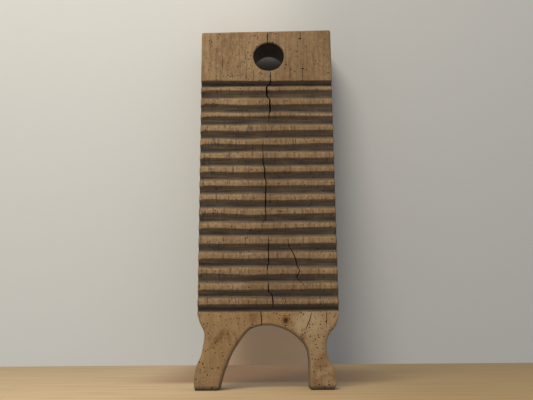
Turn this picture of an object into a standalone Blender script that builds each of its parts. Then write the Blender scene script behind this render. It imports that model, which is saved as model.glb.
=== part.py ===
"""A one-piece ribbed scraper board, carved from a single upright plank.

X runs across the board, Z runs up it along the grain, and the ribbed face looks
along -Y. The board is drawn with its ribbed face at y = 0 and the middle of its head
at x = 0, and is then moved so that the origin lies under the middle of the whole
piece, at the height of its soles. Everything is in metres.
"""

import math

import bmesh
import bpy
from mathutils import Vector

# Driving sizes of the plank
WIDTH = 0.220
THICKNESS = 0.060
HEAD_HEIGHT = 0.0935        # from the first groove's deepest line up to the left top corner
TOP_RISE = 0.0035           # the top is sawn a little out of square, higher at the right
APRON_HEIGHT = 0.0247       # plain wood between the arch and the last groove's deepest line
ARCH_HEIGHT = 0.0973        # crown of the arch above the floor

# Driving sizes of the ribs
GROOVE_COUNT = 17
GROOVE_PITCH = 0.0235
GROOVE_DEPTH = 0.0065
SCOOP_RUN = 0.0073          # from the deepest line up to the rib above
RISE_RUN = 0.0057           # from the deepest line down to the rib below
END_SCOOP_RUN = 0.0040      # the first groove falls steeply from the head
END_RISE_RUN = 0.0040       # and the last one rises steeply to the apron

# The grooves were set out by eye. Each entry moves one of them off the even pitch,
# in millimetres, from the first groove under the head to the last above the apron.
SETTING_OUT = (-3.0, 0.0, -1.5, 0.5, 0.0, 0.0, 0.0, 0.0, 0.0, 0.5, 1.0, 1.5, 0.5, 0.0, -1.0, -1.5, 0.0)

# Driving sizes of the hand hole
HOLE_DIAMETER = 0.0515
HOLE_DROP = 0.0470          # centre below the top edge
HOLE_SHIFT = 0.0040         # centre to the right of the middle
HOLE_CHAMFER = 0.0015

# Driving sizes of the legs
ARCH_LEFT = 0.0765          # the arch's reach from the middle, at the floor
ARCH_RIGHT = 0.0640
WAIST_LEFT = 0.0112         # how far each leg's waist is cut in from the board's side
WAIST_RIGHT = 0.0207

# Rounding of the long edges, which is heavier down the legs
EDGE_ROUNDING = 0.0030
LEG_ROUNDING = 0.0070
SOLE_ROUNDING = 0.0020
ROUNDING_STARTS = 1.1       # height where the heavier rounding starts, as a share of the arch's
ROUNDING_FADE = 0.35        # the stretch over which it comes in and dies out, as such a share
CORNER_RADIUS = 0.0040

# Outer line of each leg, from the hip down to the sole. The first number is the inset
# from the board's side as a share of that leg's waist, the second is the height as a
# share of the arch's height.
LEFT_OUTER = (
    (0.00, 1.18), (0.36, 1.04), (0.90, 0.91), (1.00, 0.82), (0.84, 0.69),
    (0.55, 0.53), (-0.02, 0.38), (-0.31, 0.23), (-0.31, 0.09), (-0.18, 0.00),
)
RIGHT_OUTER = (
    (0.00, 1.20), (0.09, 1.09), (0.34, 0.96), (0.78, 0.83), (0.96, 0.72), (1.00, 0.62),
    (0.93, 0.52), (0.81, 0.45), (0.43, 0.31), (0.31, 0.20), (0.34, 0.09), (0.50, 0.00),
)

# Line of the arch on each side, from the sole up towards the crown, as shares of the
# arch's reach on that side and of its height.
ARCH_LEFT_LINE = (
    (1.00, 0.00), (0.97, 0.09), (0.92, 0.23), (0.86, 0.35), (0.76, 0.54), (0.62, 0.72),
    (0.45, 0.89), (0.33, 0.955), (0.17, 0.99),
)
ARCH_RIGHT_LINE = (
    (1.00, 0.00), (0.98, 0.09), (0.99, 0.39), (0.97, 0.53), (0.95, 0.60), (0.88, 0.69),
    (0.72, 0.80), (0.54, 0.89), (0.36, 0.945), (0.17, 0.985),
)

CURVE_STEPS = 2             # straight pieces between two points of a curve
CORNER_STEPS = 4
HOLE_SIDES = 48
CUT_OVERRUN = 0.010         # how far a cutter runs past the wood
WOOD_COLOUR = (0.290, 0.190, 0.100, 1.0)

HALF_WIDTH = WIDTH / 2
LAST_GROOVE_Z = ARCH_HEIGHT + APRON_HEIGHT
FIRST_GROOVE_Z = LAST_GROOVE_Z + (GROOVE_COUNT - 1) * GROOVE_PITCH + SETTING_OUT[0] / 1000
LEFT_TOP_Z = FIRST_GROOVE_Z + HEAD_HEIGHT
RIGHT_TOP_Z = LEFT_TOP_Z + TOP_RISE


def clear_scene():
    for item in list(bpy.data.objects):
        bpy.data.objects.remove(item, do_unlink=True)


def smooth_line(points, steps):
    """Points along a Catmull-Rom curve through the given points, ends included."""
    ends = [points[0] * 2 - points[1]] + list(points) + [points[-1] * 2 - points[-2]]
    line = []
    for before, start, end, after in zip(ends, ends[1:], ends[2:], ends[3:]):
        for step in range(steps):
            t = step / steps
            line.append(0.5 * (
                2 * start
                + (end - before) * t
                + (2 * before - 5 * start + 4 * end - after) * t ** 2
                + (3 * start - before - 3 * end + after) * t ** 3
            ))
    line.append(points[-1])
    return line


def corner(tip, towards, away):
    """A rounded corner at tip, between the directions it is reached from and left to."""
    start = tip - towards * CORNER_RADIUS
    end = tip + away * CORNER_RADIUS
    arc = []
    for step in range(CORNER_STEPS + 1):
        t = step / CORNER_STEPS
        arc.append(start * (1 - t) ** 2 + tip * (2 * t * (1 - t)) + end * t ** 2)
    return arc


def leg_line(shares, side, waist):
    """The outer line of one leg. side is -1 for the left and 1 for the right."""
    points = [Vector((side * (HALF_WIDTH - inset * waist), height * ARCH_HEIGHT))
              for inset, height in shares]
    return smooth_line(points, CURVE_STEPS)


def arch_line():
    """The whole arch, from the left sole over the crown to the right sole."""
    left = [Vector((-share * ARCH_LEFT, height * ARCH_HEIGHT)) for share, height in ARCH_LEFT_LINE]
    crown = [Vector((0, ARCH_HEIGHT))]
    right = [Vector((share * ARCH_RIGHT, height * ARCH_HEIGHT)) for share, height in ARCH_RIGHT_LINE]
    return smooth_line(left + crown + right[::-1], CURVE_STEPS)


def board_outline():
    """The closed front outline, clockwise as seen from the ribbed side."""
    left_top = Vector((-HALF_WIDTH, LEFT_TOP_Z))
    right_top = Vector((HALF_WIDTH, RIGHT_TOP_Z))
    up = Vector((0, 1))
    along_top = (right_top - left_top).normalized()
    outline = corner(left_top, up, along_top)
    outline += corner(right_top, along_top, -up)
    outline += leg_line(RIGHT_OUTER, 1, WAIST_RIGHT)
    outline += arch_line()[::-1]
    outline += leg_line(LEFT_OUTER, -1, WAIST_LEFT)[::-1]
    return outline


def inward_directions(outline):
    """For each point of a clockwise outline, the direction that moves both its sides inward."""
    directions = []
    count = len(outline)
    for index, point in enumerate(outline):
        before = (point - outline[index - 1]).normalized()
        after = (outline[(index + 1) % count] - point).normalized()
        normal = Vector((before.y + after.y, -before.x - after.x)).normalized()
        stretch = max(0.5, normal.dot(Vector((after.y, -after.x))))
        directions.append(normal / stretch)
    return directions


def edge_rounding(height):
    """The edge rounding at this height: heavier down the legs, and light again at the soles."""
    below_hips = (ROUNDING_STARTS - height / ARCH_HEIGHT) / ROUNDING_FADE
    above_soles = height / ARCH_HEIGHT / ROUNDING_FADE
    from_hips = EDGE_ROUNDING + (LEG_ROUNDING - EDGE_ROUNDING) * min(1.0, max(0.0, below_hips))
    from_soles = SOLE_ROUNDING + (LEG_ROUNDING - SOLE_ROUNDING) * min(1.0, above_soles)
    return min(from_hips, from_soles) if below_hips > 0 else EDGE_ROUNDING


def build_board():
    """The plank with its outline sawn out and its long edges rounded, before it is grooved."""
    outline = board_outline()
    inward = inward_directions(outline)
    # Each ring gives its inset and its depth behind the face, as shares of the rounding
    round_profile = ((1.0, 0.0), (0.35, 0.20), (0.0, 1.0))
    mesh = bmesh.new()
    rings = []
    for from_back in (False, True):
        profile = reversed(round_profile) if from_back else round_profile
        for inset, depth in profile:
            ring = []
            for point, direction in zip(outline, inward):
                rounding = edge_rounding(point.y)
                spot = point + direction * inset * rounding
                offset = depth * rounding
                y = THICKNESS - offset if from_back else offset
                # The soles stay flat, so only their rims are lifted
                ring.append(mesh.verts.new((spot.x, y, max(spot.y, 0.0))))
            rings.append(ring)
    count = len(outline)
    for front, back in zip(rings, rings[1:]):
        for index in range(count):
            following = (index + 1) % count
            mesh.faces.new((front[index], front[following], back[following], back[index]))
    mesh.faces.new(rings[0])
    mesh.faces.new(rings[-1])
    bmesh.ops.recalc_face_normals(mesh, faces=mesh.faces[:])
    return make_object("ribbed_board", mesh)


def make_object(name, mesh):
    data = bpy.data.meshes.new(name)
    mesh.to_mesh(data)
    mesh.free()
    item = bpy.data.objects.new(name, data)
    bpy.context.scene.collection.objects.link(item)
    return item


def groove_heights():
    """The height of each groove's deepest line, from the head down."""
    top = LAST_GROOVE_Z + (GROOVE_COUNT - 1) * GROOVE_PITCH
    return [top - index * GROOVE_PITCH + SETTING_OUT[index] / 1000 for index in range(GROOVE_COUNT)]


def groove_profile(scoop_run, rise_run):
    """A groove's section as (height from its deepest line, depth), closed in front of the face."""
    slope_above = scoop_run / GROOVE_DEPTH
    slope_below = rise_run / GROOVE_DEPTH
    return (
        (scoop_run + CUT_OVERRUN * slope_above * 0.2, -CUT_OVERRUN),
        (scoop_run, 0.0),
        (scoop_run * 0.75, GROOVE_DEPTH * 0.55),
        (scoop_run * 0.20, GROOVE_DEPTH * 0.95),
        (0.0, GROOVE_DEPTH),
        (-rise_run, 0.0),
        (-rise_run - CUT_OVERRUN * slope_below * 0.2, -CUT_OVERRUN),
    )


def build_groove_cutter():
    """Every groove as one long prism across the board, all in one cutter."""
    mesh = bmesh.new()
    reach = HALF_WIDTH + CUT_OVERRUN
    last = GROOVE_COUNT - 1
    for index, height in enumerate(groove_heights()):
        scoop_run = END_SCOOP_RUN if index == 0 else SCOOP_RUN
        rise_run = END_RISE_RUN if index == last else RISE_RUN
        section = groove_profile(scoop_run, rise_run)
        ends = []
        for x in (-reach, reach):
            ends.append([mesh.verts.new((x, depth, height + rise)) for rise, depth in section])
        for corner_index in range(len(section)):
            following = (corner_index + 1) % len(section)
            mesh.faces.new((ends[0][corner_index], ends[0][following],
                            ends[1][following], ends[1][corner_index]))
        mesh.faces.new(ends[0])
        mesh.faces.new(ends[1])
    bmesh.ops.recalc_face_normals(mesh, faces=mesh.faces[:])
    return make_object("groove_cutter", mesh)


def build_hole_cutter():
    """The hand hole's core, flared at both mouths by its chamfer."""
    mesh = bmesh.new()
    radius = HOLE_DIAMETER / 2
    flare = radius + HOLE_CHAMFER + CUT_OVERRUN
    stations = (
        (-CUT_OVERRUN, flare),
        (HOLE_CHAMFER, radius),
        (THICKNESS - HOLE_CHAMFER, radius),
        (THICKNESS + CUT_OVERRUN, flare),
    )
    middle_x = HOLE_SHIFT
    top_z = LEFT_TOP_Z + TOP_RISE * (0.5 + HOLE_SHIFT / WIDTH)
    middle_z = top_z - HOLE_DROP
    rings = []
    for y, reach in stations:
        ring = []
        for side in range(HOLE_SIDES):
            angle = 2 * math.pi * side / HOLE_SIDES
            ring.append(mesh.verts.new((
                middle_x + reach * math.cos(angle), y, middle_z + reach * math.sin(angle))))
        rings.append(ring)
    for front, back in zip(rings, rings[1:]):
        for side in range(HOLE_SIDES):
            following = (side + 1) % HOLE_SIDES
            mesh.faces.new((front[side], front[following], back[following], back[side]))
    mesh.faces.new(rings[0])
    mesh.faces.new(rings[-1])
    bmesh.ops.recalc_face_normals(mesh, faces=mesh.faces[:])
    return make_object("hole_cutter", mesh)


def cut_with(board, cutter):
    cutter.parent = board
    cutter.hide_render = True
    cutter.display_type = "WIRE"
    cut = board.modifiers.new(cutter.name, "BOOLEAN")
    cut.operation = "DIFFERENCE"
    cut.object = cutter


def make_wood():
    wood = bpy.data.materials.new("weathered_wood")
    wood.use_nodes = True
    shader = wood.node_tree.nodes["Principled BSDF"]
    shader.inputs["Base Color"].default_value = WOOD_COLOUR
    shader.inputs["Roughness"].default_value = 0.8
    shader.inputs["Metallic"].default_value = 0.0
    return wood


def main():
    clear_scene()
    board = build_board()
    board.data.materials.append(make_wood())
    cut_with(board, build_groove_cutter())
    cut_with(board, build_hole_cutter())
    across = [point.x for point in board_outline()]
    board.location = (-(min(across) + max(across)) / 2, -THICKNESS / 2, 0)


main()
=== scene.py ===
import math

import bmesh
import bpy
import numpy as np
from mathutils import Matrix, Vector, noise
from mathutils.geometry import delaunay_2d_cdt


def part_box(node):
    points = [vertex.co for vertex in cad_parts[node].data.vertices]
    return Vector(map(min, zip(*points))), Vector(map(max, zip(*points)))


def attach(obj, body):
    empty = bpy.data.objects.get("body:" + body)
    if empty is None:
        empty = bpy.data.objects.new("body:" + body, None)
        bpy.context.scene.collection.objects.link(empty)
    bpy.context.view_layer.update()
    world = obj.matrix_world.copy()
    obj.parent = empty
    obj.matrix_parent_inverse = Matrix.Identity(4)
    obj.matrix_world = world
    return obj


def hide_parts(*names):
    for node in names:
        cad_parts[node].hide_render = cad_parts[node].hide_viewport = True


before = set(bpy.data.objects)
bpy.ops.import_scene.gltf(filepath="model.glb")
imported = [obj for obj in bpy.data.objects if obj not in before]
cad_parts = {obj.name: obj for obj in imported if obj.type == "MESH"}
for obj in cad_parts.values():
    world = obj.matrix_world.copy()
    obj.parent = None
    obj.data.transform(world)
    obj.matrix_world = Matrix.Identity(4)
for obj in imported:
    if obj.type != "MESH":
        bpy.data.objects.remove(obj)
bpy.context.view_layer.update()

boardLow, boardHigh = (Vector(c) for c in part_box("ribbed_board"))
faceY = boardLow.y                       # the ribbed face
backY = boardHigh.y
topZ = boardHigh.z

print("stage: outline of the board")

# sizes and shares repeat those of the solid the board stands for
plank = {
    "width": 0.220,
    "topRise": 0.0035,                   # the right corner stands higher than the left
    "cornerRadius": 0.0040,
    "archHeight": 0.0973,
    "archLeft": 0.0765,
    "archRight": 0.0640,
    "waistLeft": 0.0112,
    "waistRight": 0.0207,
    "holeRadius": 0.02575,
    "holeDrop": 0.0470,
    "holeShift": 0.0040,
    "sideRounding": 0.0028,
    "archRounding": 0.0030,
    "legRounding": 0.0085,
    "soleRounding": 0.0022,
    "holeRounding": 0.0022,
    "boundaryStep": 0.0024,
    "soleWear": 0.0075,                  # how far up the front of each foot is worn back
    "soleWorn": 0.0045,                  # and how far back at the floor
    "sagRoom": 0.0006,                   # lets face and back sag without growing thicker
}
middleX = boardHigh.x - plank["width"] / 2
leftTopZ = topZ - plank["topRise"]

# share of the waist's inset, share of the arch's height
leftOuter = (
    (0.00, 1.18), (0.36, 1.04), (0.90, 0.91), (1.00, 0.82), (0.84, 0.69),
    (0.55, 0.53), (-0.02, 0.38), (-0.31, 0.23), (-0.31, 0.09), (-0.18, 0.00),
)
rightOuter = (
    (0.00, 1.20), (0.09, 1.09), (0.34, 0.96), (0.78, 0.83), (0.96, 0.72), (1.00, 0.62),
    (0.93, 0.52), (0.81, 0.45), (0.43, 0.31), (0.31, 0.20), (0.34, 0.09), (0.50, 0.00),
)
archLeftLine = (
    (1.00, 0.00), (0.97, 0.09), (0.92, 0.23), (0.86, 0.35), (0.76, 0.54), (0.62, 0.72),
    (0.45, 0.89), (0.33, 0.955), (0.17, 0.99),
)
archRightLine = (
    (1.00, 0.00), (0.98, 0.09), (0.99, 0.39), (0.97, 0.53), (0.95, 0.60), (0.88, 0.69),
    (0.72, 0.80), (0.54, 0.89), (0.36, 0.945), (0.17, 0.985),
)


def smoothLine(points, steps=12):
    ends = [points[0] * 2 - points[1]] + list(points) + [points[-1] * 2 - points[-2]]
    line = []
    for before, start, end, after in zip(ends, ends[1:], ends[2:], ends[3:]):
        for step in range(steps):
            t = step / steps
            line.append(0.5 * (
                2 * start + (end - before) * t
                + (2 * before - 5 * start + 4 * end - after) * t ** 2
                + (3 * start - before - 3 * end + after) * t ** 3))
    line.append(points[-1])
    return line


def evenSteps(line, step):               # resample a line at even steps, ends kept
    points = np.array([tuple(p) for p in line])
    along = np.concatenate([[0], np.cumsum(np.linalg.norm(np.diff(points, axis=0), axis=1))])
    count = max(2, int(round(along[-1] / step)) + 1)
    wanted = np.linspace(0, along[-1], count)
    return np.stack([np.interp(wanted, along, points[:, 0]), np.interp(wanted, along, points[:, 1])], 1)


def cornerArc(tip, towards, away):
    radius = plank["cornerRadius"]
    start, end = tip - towards * radius, tip + away * radius
    return [start * (1 - t) ** 2 + tip * (2 * t * (1 - t)) + end * t ** 2
            for t in (i / 6 for i in range(7))]


def legLine(shares, side, waist):
    half = plank["width"] / 2
    return smoothLine([Vector((middleX + side * (half - inset * waist), height * plank["archHeight"]))
                       for inset, height in shares])


def archLine():
    height = plank["archHeight"]
    left = [Vector((middleX - s * plank["archLeft"], h * height)) for s, h in archLeftLine]
    right = [Vector((middleX + s * plank["archRight"], h * height)) for s, h in archRightLine]
    return smoothLine(left + [Vector((middleX, height))] + right[::-1])


ribs = {
    "grooveCount": 17,
    "pitch": 0.0235,
    "lastGrooveZ": 0.1220,
    "depth": 0.0068,
    "scoopRun": 0.0083,
    "riseRun": 0.0064,
    "endScoopRun": 0.0058,
    "endRiseRun": 0.0036,
    "arris": 0.00045,                    # how far the edges are worn round
    "handWaver": 0.0004,
    "columnStep": 0.0024,
}
# millimetres each groove lies off the even pitch, from the head down
settingOut = (-4.6, -1.2, -2.3, -0.4, -0.9, -0.9, -0.9, -0.9, -0.9,
              -0.6, -0.3, 0.1, -0.9, -1.4, -2.4, -2.9, -2.0)
lastGroove = ribs["grooveCount"] - 1
grooveZ = [ribs["lastGrooveZ"] + (lastGroove - i) * ribs["pitch"] + settingOut[i] / 1000
           for i in range(ribs["grooveCount"])]

# how the carver's hand strayed from the even grooves, in millimetres, at six places from the
# left edge to the right; the gouge was lifted at the left edge
hand = {
    "columns": (-109.5, -103.0, -86.0, -32.0, 26.0, 76.0),
    "upper": (-1.2, 1.3, 1.3, -0.5, -0.5, 0.2),      # of each scoop's upper edge
    "lower": (-1.2, -1.7, -1.7, -2.3, -2.3, -2.7),   # of each slope's lower edge
    "slip": 2.2,                         # how much one groove differs from the next
    "endShare": 0.3,                     # the first and the last groove stray less
}


def softNoise(x, y, z, seed):            # smooth noise between -1 and 1
    return noise.noise(Vector((x + seed * 17.3, y - seed * 5.1, z + seed * 9.7)))


def grooveShape(index):                  # heights from the deepest line, and depths there
    scoop = ribs["endScoopRun"] if index == 0 else ribs["scoopRun"]
    rise = ribs["endRiseRun"] if index == lastGroove else ribs["riseRun"]
    depth = ribs["depth"] * (1.12 if index in (0, lastGroove) else 1.0)
    return ((-rise, 0), (-rise * 0.5, depth * 0.56), (0, depth), (scoop * 0.28, depth * 0.93),
            (scoop * 0.62, depth * 0.72), (scoop * 0.86, depth * 0.38), (scoop, 0))


def profileTable():                      # depth behind the face for every height
    heights = np.arange(0, topZ + 0.002, 0.0001)
    depths = np.zeros_like(heights)
    for index, z in enumerate(grooveZ):
        shape = grooveShape(index)
        inside = (heights > z + shape[0][0]) & (heights < z + shape[-1][0])
        runs, shapeDepths = zip(*shape)
        depths[inside] = np.interp(heights[inside] - z, runs, shapeDepths)
    reach = np.arange(-20, 21) * 0.0001
    blur = np.exp(-(reach / ribs["arris"]) ** 2 / 2)
    return heights, np.convolve(depths, blur / blur.sum(), mode="same")


profileHeights, profileDepths = profileTable()


def handTables():                        # heights as set out, and how far each place moves them
    spots, moves = [0.0, lowRow - 0.0045], [[0.0] * 6, [0.0] * 6]
    for index in reversed(range(ribs["grooveCount"])):
        shape = grooveShape(index)
        share = hand["endShare"] if index in (0, lastGroove) else 1.0
        upper = [share * (v + hand["slip"] * softNoise(index * 1.37, x * 0.017, 0.3, 31))
                 for v, x in zip(hand["upper"], hand["columns"])]
        lower = [share * (v + hand["slip"] * softNoise(index * 1.37, x * 0.017, 4.7, 32))
                 for v, x in zip(hand["lower"], hand["columns"])]
        for height, top, bottom in ((shape[0][0], 0.0, 1.0), (0.0, 0.15, 0.6), (shape[-1][0], 1.0, 0.0)):
            spots.append(grooveZ[index] + height)
            moves.append([top * a + bottom * b for a, b in zip(upper, lower)])
    spots.append(topZ - 0.05)
    moves.append([0.0] * 6)
    return np.array(spots), np.array(moves) / 1000


def handShift(x, z):
    column = np.interp((x - middleX) * 1000, hand["columns"], range(6))
    first = min(4, int(column))
    share = column - first
    left, right = (np.interp(z, handSpots, handMoves[:, i]) for i in (first, first + 1))
    return float(left + (right - left) * share)


def rowHeights():                        # mesh rows: close together in the grooves
    rows = []
    for index, z in enumerate(grooveZ):
        shape = grooveShape(index)
        low, high = shape[0][0], shape[-1][0]
        marks = [low - 0.0011, low - 0.0004, low + 0.0003, low * 0.75, low * 0.5, low * 0.25, -0.0004, 0,
                 0.0005, high * 0.28, high * 0.48, high * 0.66, high * 0.82, high * 0.94,
                 high + 0.0003, high + 0.0012]
        rows += [z + m for m in marks]
    rows.sort()
    filled = []
    below = rows[0]
    for row in rows:
        gap = row - below
        pieces = max(1, int(math.ceil(gap / 0.0028)))
        filled += [below + gap * k / pieces for k in range(1, pieces)]
        filled.append(row)
        below = row
    return np.array(filled)


ribRows = rowHeights()
lowRow, highRow = ribRows[0], ribRows[-1]
headRows = np.arange(highRow + 0.0026, topZ, 0.0027)
legRows = np.arange(lowRow - 0.0026, 0.0, -0.0026)[::-1]
allRows = np.concatenate([legRows, ribRows, headRows])
handSpots, handMoves = handTables()


def sideSamples(x, fromZ, toZ):          # a straight side, sampled on the mesh rows
    low, high = min(fromZ, toZ), max(fromZ, toZ)
    rows = [z for z in allRows if low + 0.0012 < z < high - 0.0012]
    if fromZ > toZ:
        rows = rows[::-1]
    return np.array([(x, z) for z in [fromZ] + rows + [toZ]])


def outerLoop():
    half = plank["width"] / 2
    step = plank["boundaryStep"]
    leftTop = Vector((middleX - half, leftTopZ))
    rightTop = Vector((middleX + half, topZ))
    up, along = Vector((0, 1)), (rightTop - leftTop).normalized()
    leftArc, rightArc = cornerArc(leftTop, up, along), cornerArc(rightTop, along, -up)
    rightLeg = legLine(rightOuter, 1, plank["waistRight"])
    leftLeg = legLine(leftOuter, -1, plank["waistLeft"])[::-1]
    arch = archLine()[::-1]
    parts = [
        evenSteps(leftArc, 0.0012), evenSteps([leftArc[-1], rightArc[0]], step),
        evenSteps(rightArc, 0.0012), sideSamples(rightTop.x, rightArc[-1].y, rightLeg[0].y),
        evenSteps(rightLeg, step), evenSteps([rightLeg[-1], arch[0]], step),
        evenSteps(arch, step), evenSteps([arch[-1], leftLeg[0]], step),
        evenSteps(leftLeg, step), sideSamples(leftTop.x, leftLeg[-1].y, leftArc[0].y),
    ]
    return np.concatenate([p[:-1] for p in parts])


def holeLoop():                          # runs the other way round, so its inside is the wood
    z = topZ - plank["topRise"] * (0.5 - plank["holeShift"] / plank["width"]) - plank["holeDrop"]
    x = middleX + plank["holeShift"]
    angles = np.linspace(0, 2 * math.pi, 96, endpoint=False)
    uneven = 1 + 0.012 * np.sin(2 * angles + 0.7) + 0.006 * np.sin(5 * angles)
    radius = plank["holeRadius"] * uneven
    return np.stack([x + radius * np.cos(angles), z + radius * np.sin(angles)], 1)


def inwardOf(loop):
    before = loop - np.roll(loop, 1, axis=0)
    after = np.roll(loop, -1, axis=0) - loop
    before /= np.linalg.norm(before, axis=1)[:, None]
    after /= np.linalg.norm(after, axis=1)[:, None]
    normal = np.stack([before[:, 1] + after[:, 1], -before[:, 0] - after[:, 0]], 1)
    normal /= np.linalg.norm(normal, axis=1)[:, None]
    stretch = np.maximum(0.6, normal[:, 0] * after[:, 1] - normal[:, 1] * after[:, 0])
    return normal / stretch[:, None]


def fade(value, low, high):
    t = np.clip((value - low) / (high - low), 0, 1)
    return t * t * (3 - 2 * t)


def outerRounding(loop):
    x, z = loop[:, 0], loop[:, 1]
    arch = plank["archHeight"]
    hips = fade(arch * 1.12 - z, 0, arch * 0.40)
    soles = fade(z, 0, arch * 0.22)
    outside = np.abs(x - middleX) > 0.078
    heavy = np.where(outside, plank["legRounding"], plank["archRounding"] * 1.5)
    rounding = plank["sideRounding"] + (heavy - plank["sideRounding"]) * hips
    rounding = plank["soleRounding"] + (rounding - plank["soleRounding"]) * np.maximum(soles, z > arch)
    smooth = np.copy(rounding)
    for _ in range(6):
        smooth = (np.roll(smooth, 1) + smooth + np.roll(smooth, -1)) / 3
    return smooth


print("stage: face, back and edges of the board")

ringShares = (0.0, 0.10, 0.32, 0.62, 1.0)     # inset of each ring, as a share of the rounding


def drop(share):                         # depth of a rounded edge at this share of its inset
    return 1 - math.sqrt(max(0.0, 1 - (1 - share) ** 2))


def insideLoop(loop, points):            # even-odd test
    x, z = points[:, 0], points[:, 1]
    inside = np.zeros(len(points), bool)
    for (x0, z0), (x1, z1) in zip(loop, np.roll(loop, -1, axis=0)):
        crosses = (z0 > z) != (z1 > z)
        with np.errstate(divide="ignore", invalid="ignore"):
            at = x0 + (z - z0) * (x1 - x0) / (z1 - z0)
        inside ^= crosses & (x < at)
    return inside


def gridPoints(columns, rows, loops, roundings, margin):
    grid = np.array([(x, z) for z in rows for x in columns])
    grid = grid[insideLoop(loops[0], grid)]
    for loop, rounding in zip(loops, roundings):
        keep = np.ones(len(grid), bool)
        for start in range(0, len(grid), 4000):
            part = grid[start:start + 4000]
            far = np.linalg.norm(part[:, None, :] - loop[None, :, :], axis=2)
            keep[start:start + 4000] = (far - rounding[None, :]).min(axis=1) > margin
        grid = grid[keep]
    return grid[~insideLoop(loops[1], grid)]


def faceSheet(loops, roundings, rings, columns, rows, margin):
    points, edges, drops = [], [], []
    for loop, rounding in zip(loops, roundings):
        inward = inwardOf(loop)
        for share in rings:
            first = len(points)
            spots = loop + inward * (rounding * share)[:, None]
            count = len(spots)
            points += [tuple(p) for p in spots]
            drops += list(rounding * drop(share))
            edges += [(first + i, first + (i + 1) % count) for i in range(count)]
    grid = gridPoints(columns, rows, loops, roundings, margin)
    points += [tuple(p) for p in grid]
    drops += [0.0] * len(grid)
    verts, _, faces, origins, _, _ = delaunay_2d_cdt(
        [Vector(p) for p in points], edges, [], 1, 1e-7, True)
    verts = np.array([tuple(v) for v in verts])
    faces = np.array(faces)
    centres = verts[faces].mean(axis=1)
    sides = verts[faces[:, 1:]] - verts[faces[:, :1]]
    area = 0.5 * np.abs(sides[:, 0, 0] * sides[:, 1, 1] - sides[:, 0, 1] * sides[:, 1, 0])
    inWood = insideLoop(loops[0], centres) & ~insideLoop(loops[1], centres)
    faces = faces[inWood & (area > 2e-10)]        # slivers along the rim are left out
    sheetDrops = np.array([drops[o[0]] if o else 0.0 for o in origins])
    places = {}
    for index, origin in enumerate(origins):
        for o in origin:
            places[o] = index
    return verts, faces, sheetDrops, places


def facePoint(x, z, dropped):            # where a point of the ribbed face really lies
    depth = float(np.interp(z, profileHeights, profileDepths))
    inRibs = float(fade(np.array(z), lowRow - 0.004, lowRow)
                   * fade(np.array(-z), -highRow - 0.004, -highRow))
    waver = softNoise(x * 22, z * 60, 0, 1) * 0.6 + softNoise(x * 80, z * 110, 0, 2) * 0.4
    deeper = 1 + 0.10 * softNoise(x * 30, z * 45, 0, 3)
    sag = 0.0006 * softNoise(x * 9, z * 7, 0, 4) + 0.00022 * softNoise(x * 70, z * 26, 0, 5)
    sole = max(0.0, 1 - z / plank["soleWear"])
    y = faceY + depth * deeper + dropped + plank["sagRoom"] + sag + plank["soleWorn"] * sole * sole
    return x, y, z + waver * ribs["handWaver"] * inRibs + handShift(x, z)


def backPoint(x, z, dropped):
    sag = 0.0006 * softNoise(x * 8, z * 6, 4, 6) + 0.00025 * softNoise(x * 60, z * 20, 4, 7)
    return x, backY - dropped - plank["sagRoom"] + sag, z


def makeObject(name, mesh):
    data = bpy.data.meshes.new(name)
    mesh.to_mesh(data)
    mesh.free()
    item = bpy.data.objects.new(name, data)
    bpy.context.scene.collection.objects.link(item)
    return item


def buildBoard():
    loops = [outerLoop(), holeLoop()]
    roundings = [outerRounding(loops[0]), np.full(len(loops[1]), plank["holeRounding"])]
    half = plank["width"] / 2 - plank["sideRounding"] - 0.0018
    step = ribs["columnStep"]
    columns = np.linspace(middleX - half, middleX + half, int(round(2 * half / step)) + 1)
    columns = np.concatenate([[columns[0] - step * 2, columns[0] - step], columns, [columns[-1] + step]])
    front = faceSheet(loops, roundings, ringShares, columns, allRows, 0.0010)
    coarse = np.arange(middleX - 0.112, middleX + 0.112, 0.007)
    back = faceSheet(loops, roundings, (0.0, 0.35, 1.0), coarse, np.arange(0.004, topZ, 0.007), 0.0030)
    verts = [facePoint(x, z, d) for (x, z), d in zip(front[0], front[2])]
    offset = len(verts)
    verts += [backPoint(x, z, d) for (x, z), d in zip(back[0], back[2])]
    faces = [tuple(f) for f in front[1]] + [tuple(offset + i for i in f) for f in back[1]]
    start, backStart = 0, 0
    between = 7
    for loop in loops:                   # the walls, from the face's rim to the back's rim
        count = len(loop)
        rims = [[front[3][start + i] for i in range(count)]]
        for number in range(1, between):
            t = number / between
            ring = []
            for i in range(count):
                ahead = Vector(verts[rims[0][i]])
                behind = Vector(verts[offset + back[3][backStart + i]])
                spot = ahead.lerp(behind, t)
                ring.append(len(verts))
                verts.append(tuple(spot))
            rims.append(ring)
        rims.append([offset + back[3][backStart + i] for i in range(count)])
        for a, b in zip(rims, rims[1:]):
            for i in range(count):
                j = (i + 1) % count
                faces.append((a[i], a[j], b[j], b[i]))
        start += count * len(ringShares)
        backStart += count * 3
    mesh = bmesh.new()
    for v in verts:
        mesh.verts.new(v)
    mesh.verts.ensure_lookup_table()
    for f in faces:
        try:
            mesh.faces.new([mesh.verts[i] for i in f])
        except ValueError:
            print("skipped a doubled face", f)
    loose = [v for v in mesh.verts if not v.link_faces]
    bmesh.ops.delete(mesh, geom=loose, context="VERTS")
    bmesh.ops.recalc_face_normals(mesh, faces=mesh.faces[:])
    openEdges = sum(1 for e in mesh.edges if not e.is_manifold)
    print("board faces", len(mesh.faces), "open edges", openEdges)
    return makeObject("ribbedBoard", mesh)


board = buildBoard()

print("stage: drying checks")

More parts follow.
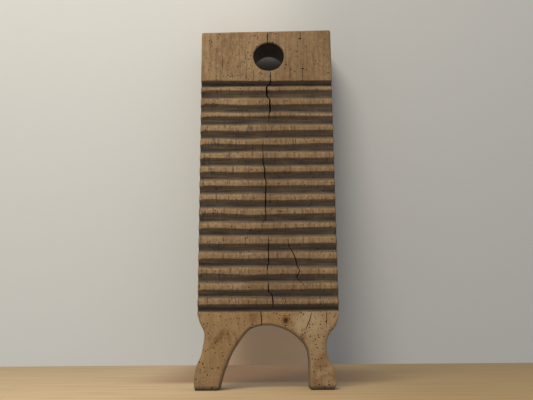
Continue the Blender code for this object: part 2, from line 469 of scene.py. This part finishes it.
# each check runs down the grain as (millimetres right of the middle, millimetres up),
# with its width at the face and its depth in millimetres
checks = {
    "jag": 0.30,
    "step": 4.5,
    "routes": (
        (3.0, 18, ((6.6, 521), (7.0, 497), (4.0, 493.5), (0.5, 491), (0.4, 472), (5.4, 468),
                   (5.7, 447), (3.8, 443), (3.2, 424))),
        (0.9, 9, ((7.0, 425), (7.2, 403))),
        (2.2, 16, ((-6.4, 401), (-6.5, 378), (-6.4, 355), (-4.2, 350), (-3.9, 332), (-1.9, 327),
                   (-2.3, 308), (-3.2, 285), (-3.0, 263), (-8.2, 258), (-8.6, 242))),
        (0.9, 9, ((10.2, 260), (9.9, 243))),
        (1.9, 14, ((1.2, 239), (1.3, 218), (1.2, 192), (-1.3, 187), (-0.9, 170))),
        (2.3, 14, ((0.8, 165), (0.6, 148), (6.5, 144), (7.5, 134), (8.0, 119))),
        (1.7, 12, ((-11.4, 121), (-10.8, 108), (-10.4, 93))),
        (1.8, 12, ((32.0, 236), (33.2, 219), (38.0, 213), (43.4, 200), (46.4, 188), (50.2, 179),
                   (44.8, 170), (49.6, 165), (60.0, 152))),
        (1.2, 9, ((23.8, 142), (28.0, 134), (25.2, 127))),
        (1.0, 7, ((47.0, 117), (56.0, 111.5))),
        (1.7, 9, ((67.4, 117), (65.0, 107), (60.2, 96), (57.6, 88))),
        (1.2, 9, ((90.4, 118), (89.6, 95))),
        (3.6, 8, ((57.7, 89.5), (57.2, 83.5))),
        (1.7, 10, ((2.5, 593), (2.6, 580), (2.4, 566))),
        (0.9, 8, ((6.6, 593), (6.9, 584))),
        (1.0, 9, ((58.4, 594), (58.2, 582), (58.0, 571))),
        (0.7, 6, ((-36.0, 558), (-36.2, 528))),
        (0.7, 6, ((-34.4, 522), (-34.2, 500))),
        (1.0, 8, ((-21.8, 521), (-22.0, 496))),
        (0.9, 7, ((40.0, 529), (39.4, 497))),
        (0.9, 7, ((61.0, 529), (60.4, 497))),
        (0.7, 5, ((26.8, 592), (26.7, 582))),
        (0.7, 5, ((-74.0, 545), (-74.3, 519))),
        (0.7, 5, ((-58.0, 517), (-57.6, 499))),
        (0.7, 5, ((79.0, 552), (79.5, 519))),
    ),
    # short checks on the crests: rib number from the top, millimetres right of the middle
    "crests": (
        (1, (-62, 22, 55)), (2, (-21, 40, 74)), (3, (-39, 22, 41, 72)), (4, (-16, 23, 41)),
        (5, (-46, 23, 47)), (6, (-63, 13, 34, 52)), (7, (-55, 37, 80)), (8, (-40, 33, 59)),
        (9, (-22, 22, 67)), (10, (-70, 20, 65, 89)), (11, (-35, 29, 45, 74, 91)), (12, (-35, -70, 57)),
        (13, (-50, 15, 99)), (14, (-36, 24, 80)), (15, (-24, 40, 89)), (16, (-60, -30, 40, 85)),
    ),
    "crestWidth": 0.75,
    "crestDepth": 4.0,
    "crestLength": 13.0,
}


def addCheck(mesh, width, depth, route, seed):
    points = evenSteps([Vector(p) for p in route], checks["step"])
    count = len(points)
    rings = []
    for index, (x, z) in enumerate(points):
        along = index / (count - 1)
        taper = min(1.0, 0.12 + 3.2 * min(along, 1 - along))
        half = 0.5 * width * taper * (1 + 0.35 * softNoise(seed * 3.1, z * 0.21, 0, 11))
        sway = checks["jag"] * softNoise(seed * 7.7, z * 0.33, 0, 12) * 2
        lean = 1.4 * softNoise(seed * 1.3, z * 0.02, 0, 13)
        front = -4.0                     # the cutter starts clear of the face
        section = ((-half, front), (half, front), (half * 0.8 + lean * 0.3, depth * 0.55),
                   (lean, depth * (0.35 + 0.65 * taper)), (-half * 0.8 + lean * 0.3, depth * 0.55))
        rings.append([mesh.verts.new((middleX + (x + sway + across) / 1000, faceY + back / 1000, z / 1000))
                      for across, back in section])
    for upper, lower in zip(rings, rings[1:]):
        for i in range(5):
            j = (i + 1) % 5
            mesh.faces.new((upper[i], upper[j], lower[j], lower[i]))
    mesh.faces.new(rings[0][::-1])
    mesh.faces.new(rings[-1])


def buildChecks():
    mesh = bmesh.new()
    for seed, (width, depth, route) in enumerate(checks["routes"]):
        addCheck(mesh, width, depth, route, seed + 1)
    for rib, places in checks["crests"]:
        low, high = grooveZ[rib] * 1000 + 3, grooveZ[rib - 1] * 1000
        for number, x in enumerate(places):
            seed = rib * 10 + number
            middle = (low + high) / 2 + 1.5 * softNoise(seed, 0, 0, 14)
            reach = checks["crestLength"] * (0.5 + 0.35 * softNoise(0, seed * 1.7, 0, 15))
            route = ((x, middle + reach), (x + 0.5 * softNoise(seed, 3, 0, 16), middle - reach))
            addCheck(mesh, checks["crestWidth"] * (1 + 0.6 * softNoise(0, 0, seed * 2.3, 17)),
                     checks["crestDepth"], route, seed)
    bmesh.ops.recalc_face_normals(mesh, faces=mesh.faces[:])
    return makeObject("checkCutter", mesh)


print("stage: worm holes")
worms = {
    "gap": 0.0036,                       # least distance between two holes
    "density": 42000.0,                  # how many are tried on a square metre
    "smallest": 0.00045,
    "largest": 0.00115,
    "depth": 0.0045,
    "seed": 7,
}


def socket(tree, name, kind, value):
    made = tree.interface.new_socket(name=name, in_out="INPUT", socket_type=kind)
    made.default_value = value
    return made.identifier


def wormTree(dark):                      # scatters short plugs over a surface, square to it
    tree = bpy.data.node_groups.new("wormHoles", "GeometryNodeTree")
    tree.interface.new_socket(name="Geometry", in_out="INPUT", socket_type="NodeSocketGeometry")
    names = {
        "gap": socket(tree, "Gap", "NodeSocketFloat", 0.003),
        "density": socket(tree, "Density", "NodeSocketFloat", 100.0),
        "smallest": socket(tree, "Smallest", "NodeSocketFloat", 0.0004),
        "largest": socket(tree, "Largest", "NodeSocketFloat", 0.0009),
        "depth": socket(tree, "Depth", "NodeSocketFloat", 0.004),
        "seed": socket(tree, "Seed", "NodeSocketInt", 1),
    }
    tree.interface.new_socket(name="Geometry", in_out="OUTPUT", socket_type="NodeSocketGeometry")
    nodes, links = tree.nodes, tree.links
    given = nodes.new("NodeGroupInput")
    result = nodes.new("NodeGroupOutput")
    weight = nodes.new("GeometryNodeInputNamedAttribute")
    weight.data_type = "FLOAT"
    weight.inputs["Name"].default_value = "worminess"
    scatter = nodes.new("GeometryNodeDistributePointsOnFaces")
    scatter.distribute_method = "POISSON"
    plug = nodes.new("GeometryNodeMeshCylinder")
    plug.inputs["Vertices"].default_value = 7
    plug.inputs["Radius"].default_value = 1.0
    size = nodes.new("FunctionNodeRandomValue")
    size.data_type = "FLOAT"
    scale = nodes.new("ShaderNodeCombineXYZ")
    place = nodes.new("GeometryNodeInstanceOnPoints")
    solid = nodes.new("GeometryNodeRealizeInstances")
    finish = nodes.new("GeometryNodeSetMaterial")
    finish.inputs["Material"].default_value = dark
    links.new(given.outputs["Geometry"], scatter.inputs["Mesh"])
    links.new(given.outputs["Gap"], scatter.inputs["Distance Min"])
    links.new(given.outputs["Density"], scatter.inputs["Density Max"])
    links.new(weight.outputs["Attribute"], scatter.inputs["Density Factor"])
    links.new(given.outputs["Seed"], scatter.inputs["Seed"])
    links.new(given.outputs["Depth"], plug.inputs["Depth"])
    links.new(given.outputs["Smallest"], size.inputs["Min"])
    links.new(given.outputs["Largest"], size.inputs["Max"])
    links.new(given.outputs["Seed"], size.inputs["Seed"])
    for axis in ("X", "Y"):
        links.new(size.outputs["Value"], scale.inputs[axis])
    scale.inputs["Z"].default_value = 1.0
    links.new(scatter.outputs["Points"], place.inputs["Points"])
    links.new(scatter.outputs["Rotation"], place.inputs["Rotation"])
    links.new(plug.outputs["Mesh"], place.inputs["Instance"])
    links.new(scale.outputs["Vector"], place.inputs["Scale"])
    links.new(place.outputs["Instances"], solid.inputs["Geometry"])
    links.new(solid.outputs["Geometry"], finish.inputs["Geometry"])
    links.new(finish.outputs["Geometry"], result.inputs["Geometry"])
    return tree, names


def markWorminess(target):               # where the beetles have been at work
    data = target.data
    mark = data.attributes.new("worminess", "FLOAT", "POINT")
    values = []
    for vertex in data.vertices:
        x, y, z = vertex.co
        patch = softNoise(x * 16, y * 10, z * 12, 21) * 0.5 + softNoise(x * 50, y * 30, z * 40, 22) * 0.35
        worn = 0.20 + 0.55 * max(0.0, patch)
        if z < 0.120:                    # apron and legs
            worn += 0.22 + 0.35 * float(fade(np.array(x), 0.0, 0.03) * fade(np.array(z), 0.06, 0.08))
        if y > faceY + 0.004:            # seldom in the grooves and round the back
            worn *= 0.30
        values.append(min(1.0, worn))
    mark.data.foreach_set("value", values)


def buildWormholes(target, dark):
    markWorminess(target)
    tree, names = wormTree(dark)
    carrier = bpy.data.objects.new("wormCarrier", target.data.copy())
    bpy.context.scene.collection.objects.link(carrier)
    scatter = carrier.modifiers.new("wormHoles", "NODES")
    scatter.node_group = tree
    for key, identifier in names.items():
        scatter[identifier] = worms[key]
    bpy.context.view_layer.update()
    depsgraph = bpy.context.evaluated_depsgraph_get()
    plugs = bpy.data.meshes.new_from_object(carrier.evaluated_get(depsgraph))
    bpy.data.objects.remove(carrier, do_unlink=True)
    cutter = bpy.data.objects.new("wormCutter", plugs)
    bpy.context.scene.collection.objects.link(cutter)
    print("worm holes", len(plugs.vertices) // 14)
    return cutter


def carve(target, cutter):
    cut = target.modifiers.new(cutter.name, "BOOLEAN")
    cut.operation = "DIFFERENCE"
    cut.object = cutter
    cut.solver = "MANIFOLD"
    cut.material_mode = "TRANSFER"
    before = len(target.data.polygons)
    depsgraph = bpy.context.evaluated_depsgraph_get()
    done = bpy.data.meshes.new_from_object(target.evaluated_get(depsgraph))
    target.modifiers.remove(cut)
    old = target.data
    target.data = done
    bpy.data.meshes.remove(old)
    bpy.data.objects.remove(cutter, do_unlink=True)
    print("carved:", before, "to", len(done.polygons), "faces, materials", len(done.materials))


print("stage: finishes")


def newNode(tree, kind, **settings):
    node = tree.nodes.new(kind)
    for name, value in settings.items():
        setattr(node, name, value)
    return node


def feed(tree, node, name, value):       # a link from a socket, or a plain value
    target = node.inputs[name]
    if isinstance(value, bpy.types.NodeSocket):
        tree.links.new(value, target)
    else:
        target.default_value = value


def maths(tree, operation, first, second=0.0, third=None, clamp=False):
    node = newNode(tree, "ShaderNodeMath", operation=operation, use_clamp=clamp)
    feed(tree, node, 0, first)
    feed(tree, node, 1, second)
    if third is not None:
        feed(tree, node, 2, third)
    return node.outputs[0]


def length(tree, a, b):
    squares = maths(tree, "ADD", maths(tree, "MULTIPLY", a, a), maths(tree, "MULTIPLY", b, b))
    return maths(tree, "SQRT", squares)


def ramp(tree, value, low, high, toLow=0.0, toHigh=1.0):
    node = newNode(tree, "ShaderNodeMapRange", interpolation_type="SMOOTHSTEP")
    for name, number in (("Value", value), ("From Min", low), ("From Max", high),
                         ("To Min", toLow), ("To Max", toHigh)):
        feed(tree, node, name, number)
    return node.outputs["Result"]


def cloud(tree, vector, scale, detail=3.0, rough=0.55, warp=0.0):
    stretch = newNode(tree, "ShaderNodeMapping")
    feed(tree, stretch, "Vector", vector)
    feed(tree, stretch, "Scale", scale)
    node = newNode(tree, "ShaderNodeTexNoise")
    feed(tree, node, "Vector", stretch.outputs["Vector"])
    feed(tree, node, "Scale", 1.0)
    feed(tree, node, "Detail", detail)
    feed(tree, node, "Roughness", rough)
    feed(tree, node, "Distortion", warp)
    return node.outputs["Fac"]


def blend(tree, factor, first, second, mode="MIX"):
    node = newNode(tree, "ShaderNodeMix", data_type="RGBA", blend_type=mode, clamp_factor=True)
    feed(tree, node, 0, factor)
    feed(tree, node, 6, first)
    feed(tree, node, 7, second)
    return node.outputs[2]


def groupWith(name, inputs, outputs):
    tree = bpy.data.node_groups.new(name, "ShaderNodeTree")
    for label, kind, value in inputs:
        made = tree.interface.new_socket(name=label, in_out="INPUT", socket_type=kind)
        if value is not None:
            made.default_value = value
    for label, kind in outputs:
        tree.interface.new_socket(name=label, in_out="OUTPUT", socket_type=kind)
    return tree, tree.nodes.new("NodeGroupInput"), tree.nodes.new("NodeGroupOutput")


def grainGroup():                        # fibres and year rings of a plank whose pith lies behind it
    tree, given, result = groupWith(
        "plankGrain",
        (("Vector", "NodeSocketVector", None), ("Ring Width", "NodeSocketFloat", 0.0042)),
        (("Fibres", "NodeSocketFloat"), ("Rings", "NodeSocketFloat"), ("Tone", "NodeSocketFloat")))
    place = given.outputs["Vector"]
    sway = cloud(tree, place, (9, 9, 2.2), 2.0)
    parts = newNode(tree, "ShaderNodeSeparateXYZ")
    feed(tree, parts, 0, place)
    x = maths(tree, "ADD", parts.outputs["X"], 0.022)
    y = maths(tree, "SUBTRACT", parts.outputs["Y"], 0.135)
    far = length(tree, x, y)
    wavy = maths(tree, "MULTIPLY_ADD", sway, 0.020, far)
    turns = maths(tree, "DIVIDE", wavy, given.outputs["Ring Width"])
    saw = maths(tree, "FRACT", turns)
    rings = maths(tree, "MULTIPLY", ramp(tree, saw, 0.35, 0.92), ramp(tree, saw, 0.93, 1.0, 1.0, 0.0))
    fine = cloud(tree, place, (950, 600, 13), 3.0, 0.65)
    broad = cloud(tree, place, (260, 160, 5), 2.0, 0.6)
    fibres = maths(tree, "ADD", maths(tree, "MULTIPLY", fine, 0.6), maths(tree, "MULTIPLY", broad, 0.4))
    tree.links.new(fibres, result.inputs["Fibres"])
    tree.links.new(rings, result.inputs["Rings"])
    tree.links.new(cloud(tree, place, (20, 20, 9), 3.0, 0.55, 0.4), result.inputs["Tone"])
    return tree


def useGroup(tree, group, **values):
    node = newNode(tree, "ShaderNodeGroup", node_tree=group)
    for name, value in values.items():
        feed(tree, node, name.replace("_", " "), value)
    return node


finish = {
    "pale": (0.352, 0.226, 0.112, 1),
    "tan": (0.272, 0.162, 0.074, 1),
    "brown": (0.140, 0.078, 0.036, 1),
    "russet": (0.170, 0.064, 0.020, 1),
    # the dark dirt colour below also paints shade on the scoops and soles; the near-black one after it
    # paints shade in the hand hole, checks, worm holes, the deepest groove line and on the wall
    "grimeAndShade": (0.092, 0.072, 0.055, 1),
    "shadeBlack": (0.012, 0.009, 0.007, 1),
    "dust": (0.165, 0.125, 0.082, 1),
    "bleached": (0.430, 0.310, 0.175, 1),
    "honey": (0.405, 0.243, 0.098, 1),
    "knotHeart": (0.020, 0.010, 0.006, 1),
    "roughness": 0.80,
    "ringWidth": 0.0046,
    "fibreRelief": 0.0007,
    # places on the ribbed face, in millimetres right of the middle and up from the floor
    "knot": (26.6, 103.4, 11.0),
    "wormyPatch": (60.0, 100.0, 28.0),
    "stain": (-76.0, 78.0, 17.0),
    "stainLean": 0.55,                   # how far the stain leans to the right as it rises
    "hole": (4.0, 543.3, 27.2),
}


def nearness(tree, x, z, spot, stretch, edge):   # 1 at a spot on the face, 0 beyond its radius
    across, up, radius = (v / 1000 for v in spot)
    a = maths(tree, "MULTIPLY", maths(tree, "SUBTRACT", x, middleX + across), stretch[0])
    b = maths(tree, "MULTIPLY", maths(tree, "SUBTRACT", z, up), stretch[1])
    far = length(tree, a, b)
    return far, ramp(tree, far, radius, radius * edge)


def weatheredWood(grain):
    material = bpy.data.materials.new("weatheredWood")
    material.use_nodes = True
    tree = material.node_tree
    shader = tree.nodes["Principled BSDF"]
    coords = newNode(tree, "ShaderNodeTexCoord")
    place = coords.outputs["Object"]
    parts = newNode(tree, "ShaderNodeSeparateXYZ")
    feed(tree, parts, 0, place)
    normal = newNode(tree, "ShaderNodeSeparateXYZ")
    feed(tree, normal, 0, coords.outputs["Normal"])
    x, y, z = (parts.outputs[a] for a in "XYZ")
    plankGrain = useGroup(tree, grain, Vector=place, Ring_Width=finish["ringWidth"])
    fibres, rings, tone = (plankGrain.outputs[n] for n in ("Fibres", "Rings", "Tone"))

    colour = blend(tree, ramp(tree, tone, 0.36, 0.62), finish["tan"], finish["pale"])
    darkFibres = maths(tree, "MULTIPLY", ramp(tree, fibres, 0.50, 0.66), 0.62)
    colour = blend(tree, darkFibres, colour, finish["brown"])
    colour = blend(tree, maths(tree, "MULTIPLY", rings, 0.30), colour, finish["brown"])
    colour = blend(tree, ramp(tree, fibres, 0.30, 0.44, 0.45, 0.0), colour, finish["dust"])
    mottle = cloud(tree, place, (210, 210, 130), 3.0, 0.6)
    colour = blend(tree, ramp(tree, mottle, 0.52, 0.68, 0.0, 0.40), colour, finish["brown"])
    colour = blend(tree, ramp(tree, mottle, 0.46, 0.34, 0.0, 0.35), colour, finish["bleached"])

    # short dark flaws down the grain, thickest on the ribs
    flaws = cloud(tree, place, (330, 60, 52), 2.0, 0.5)
    onRibs = maths(tree, "MULTIPLY", ramp(tree, z, lowRow, lowRow + 0.004),
                   ramp(tree, z, highRow, highRow - 0.004))
    flaws = maths(tree, "MULTIPLY", ramp(tree, flaws, 0.58, 0.67),
                  maths(tree, "MULTIPLY_ADD", onRibs, 0.45, 0.35))
    colour = blend(tree, flaws, colour, finish["grimeAndShade"])

    # the heart of the plank and the right of its head are darker
    heart = ramp(tree, maths(tree, "ABSOLUTE", maths(tree, "SUBTRACT", x, middleX + 0.012)), 0.050, 0.010)
    heart = maths(tree, "MULTIPLY", heart, maths(tree, "MULTIPLY_ADD", onRibs, 0.26, 0.02))
    # painted shade: the whole board darkens towards the right, away from the light on the left
    rightwardShade = ramp(tree, x, middleX - 0.09, middleX + 0.09, 0.0, 0.13)
    colour = blend(tree, maths(tree, "ADD", heart, rightwardShade), colour, finish["brown"])
    head = maths(tree, "MULTIPLY", ramp(tree, z, highRow - 0.002, highRow + 0.002),
                 ramp(tree, x, middleX - 0.045, middleX + 0.012))
    colour = blend(tree, maths(tree, "MULTIPLY", head, 0.22), colour, finish["brown"])
    lowDown = ramp(tree, z, 0.119, 0.112)
    colour = blend(tree, maths(tree, "MULTIPLY", lowDown, 0.42), colour, finish["honey"])
    rightLeg = maths(tree, "MULTIPLY", lowDown, ramp(tree, x, middleX + 0.035, middleX + 0.075))
    colour = blend(tree, maths(tree, "MULTIPLY", rightLeg, 0.25), colour, finish["bleached"])

    # dark spots, flecks and stains
    flecks = cloud(tree, place, (430, 430, 230), 2.0, 0.5)
    colour = blend(tree, ramp(tree, flecks, 0.64, 0.72, 0.0, 0.75), colour, finish["grimeAndShade"])
    stains = cloud(tree, place, (34, 30, 17), 3.0, 0.6, 0.6)
    russet = maths(tree, "MULTIPLY", ramp(tree, stains, 0.50, 0.62), maths(tree, "MULTIPLY", lowDown, 0.50))
    front = ramp(tree, y, faceY + 0.012, faceY + 0.006)
    stainX, stainZ, stainRadius = finish["stain"]
    leaning = maths(tree, "SUBTRACT", x, maths(tree, "MULTIPLY", z, finish["stainLean"]))
    stainSpot = (stainX - finish["stainLean"] * stainZ, stainZ, stainRadius)
    _, stainMask = nearness(tree, leaning, z, stainSpot, (1.7, 0.9), 0.2)
    stainMask = maths(tree, "MULTIPLY", stainMask, ramp(tree, stains, 0.36, 0.56))
    stainMask = maths(tree, "MULTIPLY", maths(tree, "MULTIPLY", stainMask, front), 0.95)
    russet = maths(tree, "MAXIMUM", russet, stainMask)
    colour = blend(tree, russet, colour, finish["russet"])

    # the pale worm-eaten patch and the knot beside it, both on the face over the arch
    ragged = cloud(tree, place, (120, 120, 120), 3.0, 0.6)
    _, patch = nearness(tree, x, z, finish["wormyPatch"], (1.0, 1.2), 0.45)
    patch = maths(tree, "MULTIPLY", maths(tree, "MULTIPLY", patch, front),
                  ramp(tree, ragged, 0.34, 0.52, 0.3, 0.85))
    colour = blend(tree, patch, colour, finish["bleached"])
    far, inKnot = nearness(tree, x, z, finish["knot"], (1.0, 0.9), 0.72)
    wobble = maths(tree, "MULTIPLY_ADD", ragged, 0.0030, far)
    loops = maths(tree, "SINE", maths(tree, "MULTIPLY", wobble, 2400.0))
    knotColour = blend(tree, ramp(tree, loops, -0.5, 0.9), finish["honey"], finish["brown"])
    knotColour = blend(tree, ramp(tree, wobble, 0.0100, 0.0060, 0.0, 0.55), knotColour, finish["russet"])
    knotColour = blend(tree, ramp(tree, wobble, 0.0058, 0.0040, 0.0, 0.9), knotColour, finish["knotHeart"])
    colour = blend(tree, maths(tree, "MULTIPLY", inKnot, front), colour, knotColour)

    # dirt and painted shade in the grooves: the slopes are dirtiest by the deepest line, and the
    # down-facing scoops and the deepest line carry painted shade as well
    depth = maths(tree, "SUBTRACT", y, faceY + plank["sagRoom"])
    above = ramp(tree, z, lowRow - 0.001, lowRow + 0.001)
    above = maths(tree, "MULTIPLY", above, ramp(tree, depth, 0.0105, 0.0088))
    # painted shade with some dirt: the scoops that face down are darkened
    facesDown = ramp(tree, normal.outputs["Z"], 0.02, -0.22)
    streaks = cloud(tree, place, (22, 60, 620), 3.0, 0.7)
    patchy = ramp(tree, streaks, 0.36, 0.62, 0.60, 1.30)
    scoop = maths(tree, "MULTIPLY", facesDown, ramp(tree, depth, 0.0005, 0.0014, 0.0, 0.50))
    slope = ramp(tree, depth, 0.0014, 0.0062, 0.0, 0.95)
    grimeAndShade = maths(tree, "MULTIPLY", maths(tree, "MAXIMUM", scoop, slope), patchy)
    endGroove = maths(tree, "MAXIMUM", ramp(tree, z, grooveZ[0] - 0.004, grooveZ[0] - 0.002),
                      ramp(tree, z, lowRow + 0.011, lowRow + 0.009))
    endGroove = maths(tree, "MULTIPLY", endGroove, ramp(tree, depth, 0.001, 0.003, 0.0, 0.72))
    grimeAndShade = maths(tree, "MAXIMUM", grimeAndShade, endGroove)
    grimeAndShade = maths(tree, "MULTIPLY", grimeAndShade, above, clamp=True)
    colour = blend(tree, grimeAndShade, colour, finish["grimeAndShade"])
    # dirt and painted shade: darkest along the deepest line
    deepest = maths(tree, "MULTIPLY", ramp(tree, depth, 0.0058, 0.0068), above)
    colour = blend(tree, maths(tree, "MULTIPLY", deepest, 0.55), colour, finish["shadeBlack"])

    # painted shade on the inner wall of the hand hole, and dirt with painted shade at the soles
    fromHole, _ = nearness(tree, x, z, finish["hole"], (1.0, 1.0), 0.9)
    boreShade = maths(tree, "MULTIPLY", ramp(tree, fromHole, 0.0272, 0.0262), ramp(tree, depth, 0.0015, 0.0060))
    colour = blend(tree, maths(tree, "MULTIPLY", boreShade, 0.80), colour, finish["shadeBlack"])
    # dirt and painted shade: the soles are darker towards the floor
    colour = blend(tree, ramp(tree, z, 0.0085, 0.0015, 0.0, 0.75), colour, finish["grimeAndShade"])

    feed(tree, shader, "Base Color", colour)
    feed(tree, shader, "Roughness", ramp(tree, fibres, 0.3, 0.7, finish["roughness"] + 0.06,
                                         finish["roughness"] - 0.08))
    bump = newNode(tree, "ShaderNodeBump")
    feed(tree, bump, "Strength", 0.8)
    feed(tree, bump, "Distance", finish["fibreRelief"])
    feed(tree, bump, "Height", maths(tree, "SUBTRACT", maths(tree, "MULTIPLY", fibres, -1.0),
                                     maths(tree, "MULTIPLY", flecks, 0.25)))
    feed(tree, shader, "Normal", bump.outputs["Normal"])
    shader.inputs["Specular IOR Level"].default_value = 0.3
    return material


def boredWood(grain):                    # painted shade: the inside of checks and worm holes, painted near black
    material = bpy.data.materials.new("boredWood")
    material.use_nodes = True
    tree = material.node_tree
    shader = tree.nodes["Principled BSDF"]
    place = newNode(tree, "ShaderNodeTexCoord").outputs["Object"]
    plankGrain = useGroup(tree, grain, Vector=place, Ring_Width=finish["ringWidth"])
    colour = blend(tree, plankGrain.outputs["Fibres"], finish["shadeBlack"], finish["knotHeart"])
    feed(tree, shader, "Base Color", colour)
    shader.inputs["Roughness"].default_value = 0.95
    shader.inputs["Specular IOR Level"].default_value = 0.1
    return material


grain = grainGroup()
woodFinish = weatheredWood(grain)
shadedBoreFinish = boredWood(grain)
board.data.materials.append(woodFinish)

checkCutter = buildChecks()
checkCutter.data.materials.append(shadedBoreFinish)
carve(board, checkCutter)
wormCutter = buildWormholes(board, shadedBoreFinish)
carve(board, wormCutter)
board.data.shade_smooth()
board.data.set_sharp_from_angle(angle=math.radians(42))
print("board triangles", sum(len(p.vertices) - 2 for p in board.data.polygons))

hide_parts("ribbed_board")
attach(board, "root")

print("stage: floor, light and camera")
view = {
    "place": (middleX - 0.0014, faceY - 0.972, 0.0755),
    "pitch": 12.646,
    "roll": -0.42,
    "lens": 41.8762,
    "wallFoot": (0.165, 0.0300),         # how far behind the board the wall starts, and how high
    "wallLean": 0.215,                   # towards the head of the board, per metre of height
    # painted light and shade on the wall: lighter on the left, darker on the right
    "wallLitLeft": (0.80, 0.80, 0.77, 1),
    "wallShadedRight": (0.60, 0.60, 0.59, 1),
    # painted warm bounce light low on the wall behind the arch
    "wallArchBounce": (0.95, 0.68, 0.44, 1),
    # painted light and shade on the shelf: lighter on the left, darker on the right
    "shelfLitLeft": (0.75, 0.55, 0.31, 1),
    "shelfShadedRight": (0.44, 0.30, 0.13, 1),
    # vein colour, which also paints the board's shadow on the shelf
    "shelfVeinAndShadow": (0.30, 0.145, 0.055, 1),
    "wallHeight": 1.2,
    "wallHalf": 3,
    "shelfHalf": 15,
}


def placeCamera():
    data = bpy.data.cameras.new("studioCamera")
    data.lens = view["lens"]
    camera = bpy.data.objects.new("studioCamera", data)
    bpy.context.scene.collection.objects.link(camera)
    turn = Matrix.Rotation(math.radians(90 + view["pitch"]), 4, "X") @ Matrix.Rotation(
        math.radians(view["roll"]), 4, "Z")
    camera.matrix_world = Matrix.Translation(view["place"]) @ turn
    bpy.context.scene.camera = camera


placeCamera()


def softLamp(name, place, aim, size, power, colour):
    data = bpy.data.lights.new(name, "AREA")
    data.shape = "DISK"
    data.size = size
    data.energy = power
    data.color = colour
    lamp = bpy.data.objects.new(name, data)
    bpy.context.scene.collection.objects.link(lamp)
    direction = Vector(aim) - Vector(place)
    turn = direction.to_track_quat("-Z", "Y").to_matrix().to_4x4()
    lamp.matrix_world = Matrix.Translation(place) @ turn


softLamp("keyLamp", (-0.48, -1.5, 1.9), (0, 0, 0.3), 1.0, 35, (1.0, 0.93, 0.80))
world = bpy.data.worlds.new("studioWorld")
bpy.context.scene.world = world
world.use_nodes = True
world.node_tree.nodes["Background"].inputs["Color"].default_value = (0.78, 0.78, 0.79, 1)
world.node_tree.nodes["Background"].inputs["Strength"].default_value = 0.50


def plainSheet(name, corners, material):
    mesh = bpy.data.meshes.new(name)
    mesh.from_pydata(corners, [], [(0, 1, 2, 3)])
    mesh.materials.append(material)
    sheet = bpy.data.objects.new(name, mesh)
    bpy.context.scene.collection.objects.link(sheet)
    return sheet


def shelfFinish():
    material = bpy.data.materials.new("paleShelf")
    material.use_nodes = True
    tree = material.node_tree
    place = newNode(tree, "ShaderNodeTexCoord").outputs["Object"]
    parts = newNode(tree, "ShaderNodeSeparateXYZ")
    feed(tree, parts, 0, place)
    cloudy = cloud(tree, place, (5, 40, 1), 4.0, 0.6)
    # painted light and shade: the shelf is lighter on the left and darker on the right
    colour = blend(tree, ramp(tree, parts.outputs["X"], -0.25, 0.30), view["shelfLitLeft"], view["shelfShadedRight"])
    colour = blend(tree, ramp(tree, cloudy, 0.40, 0.65, 0.0, 0.22), colour, view["shelfVeinAndShadow"])
    # painted shadow: the shelf behind the board is darkened in the vein colour
    boardShadow = maths(tree, "MULTIPLY", ramp(tree, parts.outputs["Y"], 0.10, 0.20),
                  ramp(tree, maths(tree, "ABSOLUTE", parts.outputs["X"]), 0.30, 0.10))
    colour = blend(tree, maths(tree, "MULTIPLY", boardShadow, 0.85), colour, view["shelfVeinAndShadow"])
    ray = newNode(tree, "ShaderNodeLightPath")   # what it throws back on the wood is neutral
    colour = blend(tree, ray.outputs["Is Camera Ray"], (0.42, 0.42, 0.43, 1), colour)
    feed(tree, tree.nodes["Principled BSDF"], "Base Color", colour)
    tree.nodes["Principled BSDF"].inputs["Roughness"].default_value = 0.75
    return material


def wallFinish():                        # seen from its front only, and by the camera only
    material = bpy.data.materials.new("paleWall")
    material.use_nodes = True
    tree = material.node_tree
    place = newNode(tree, "ShaderNodeTexCoord").outputs["Object"]
    parts = newNode(tree, "ShaderNodeSeparateXYZ")
    feed(tree, parts, 0, place)
    # painted light and shade: the wall is lighter on the left, towards the lamp, and darker to the right of
    # the board
    colour = blend(tree, ramp(tree, parts.outputs["X"], -0.05, 0.16), view["wallLitLeft"], view["wallShadedRight"])
    # painted light: warm light bounced from the wood and shelf onto the wall low behind the arch
    low = maths(tree, "MULTIPLY", ramp(tree, parts.outputs["Z"], 0.16, 0.07),
                ramp(tree, maths(tree, "ABSOLUTE", parts.outputs["X"]), 0.10, 0.07))
    colour = blend(tree, low, colour, view["wallArchBounce"])
    # the wall is shaded where the head of the board leans close to it
    _, close = nearness(tree, parts.outputs["X"], parts.outputs["Z"], (4.0, 572.0, 50.0), (1.0, 1.3), 0.45)
    colour = blend(tree, maths(tree, "MULTIPLY", close, 0.80), colour, finish["shadeBlack"])
    feed(tree, tree.nodes["Principled BSDF"], "Base Color", colour)
    tree.nodes["Principled BSDF"].inputs["Roughness"].default_value = 0.9
    clear = newNode(tree, "ShaderNodeBsdfTransparent")
    ray = newNode(tree, "ShaderNodeLightPath")
    side = newNode(tree, "ShaderNodeNewGeometry")
    seen = maths(tree, "SUBTRACT", ray.outputs["Is Camera Ray"], side.outputs["Backfacing"], clamp=True)
    mix = newNode(tree, "ShaderNodeMixShader")
    feed(tree, mix, 0, seen)
    tree.links.new(clear.outputs[0], mix.inputs[1])
    tree.links.new(tree.nodes["Principled BSDF"].outputs[0], mix.inputs[2])
    tree.links.new(mix.outputs[0], tree.nodes["Material Output"].inputs["Surface"])
    return material


reach = view["shelfHalf"]
plainSheet("paleShelf", [(-reach, -reach, 0), (reach, -reach, 0), (reach, reach, 0), (-reach, reach, 0)],
           shelfFinish())
footY, footZ = view["wallFoot"]
headY, headZ = footY - view["wallHeight"] * view["wallLean"], footZ + view["wallHeight"]
reach = view["wallHalf"]
plainSheet("paleWall", [(-reach, footY, footZ), (reach, footY, footZ),
                        (reach, headY, headZ), (-reach, headY, headZ)], wallFinish())
bpy.context.scene.view_settings.view_transform = "Standard"
